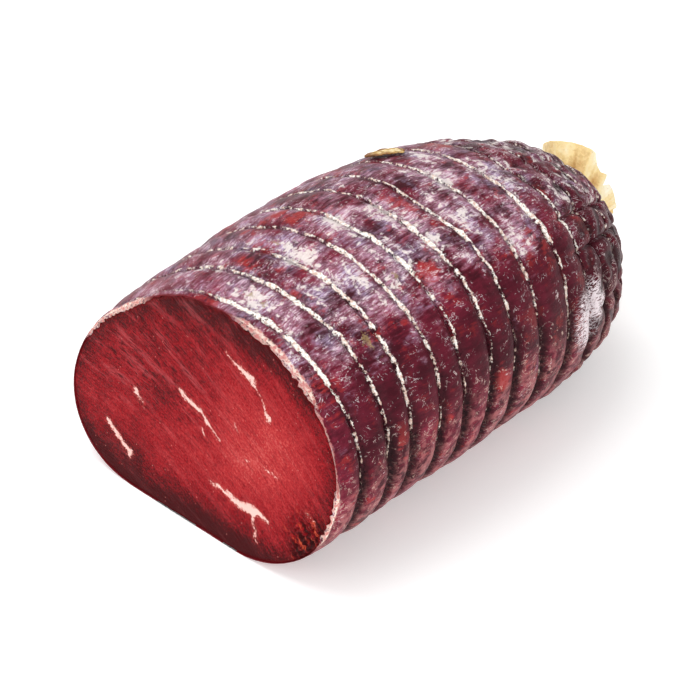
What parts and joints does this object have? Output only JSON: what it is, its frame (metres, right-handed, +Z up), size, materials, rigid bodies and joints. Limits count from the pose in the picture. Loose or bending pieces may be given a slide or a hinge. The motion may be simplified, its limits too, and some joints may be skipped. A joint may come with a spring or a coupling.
{
  "type": "bresaola half",
  "caption": "Half of a cured, air-dried beef roll in its mould-bloomed casing, cut flat at one end, with a dry ruffled casing tail at the other.",
  "frame": {"origin": "on the ground under the middle of the whole piece's box", "axes": "+Y along the roll from the cut end to the closed end, +X to the right seen from the cut end, +Z up"},
  "size_m": [0.1252, 0.2052, 0.0901],
  "materials": {
    "cured_casing": "purple-maroon cured casing with a lilac-white mould bloom and cream ridges along its pinch lines",
    "cut_lean": "moist deep crimson lean meat of the cut end, with fine fibres and pinkish white fat streaks",
    "dry_casing": "thin translucent dried casing, pale cream yellow with amber folds"
  },
  "bodies": {
    "root": {"cured_beef": "cured_casing", "casing_tail": "dry_casing", "casing_flap": "dry_casing"}
  },
  "joints": []
}
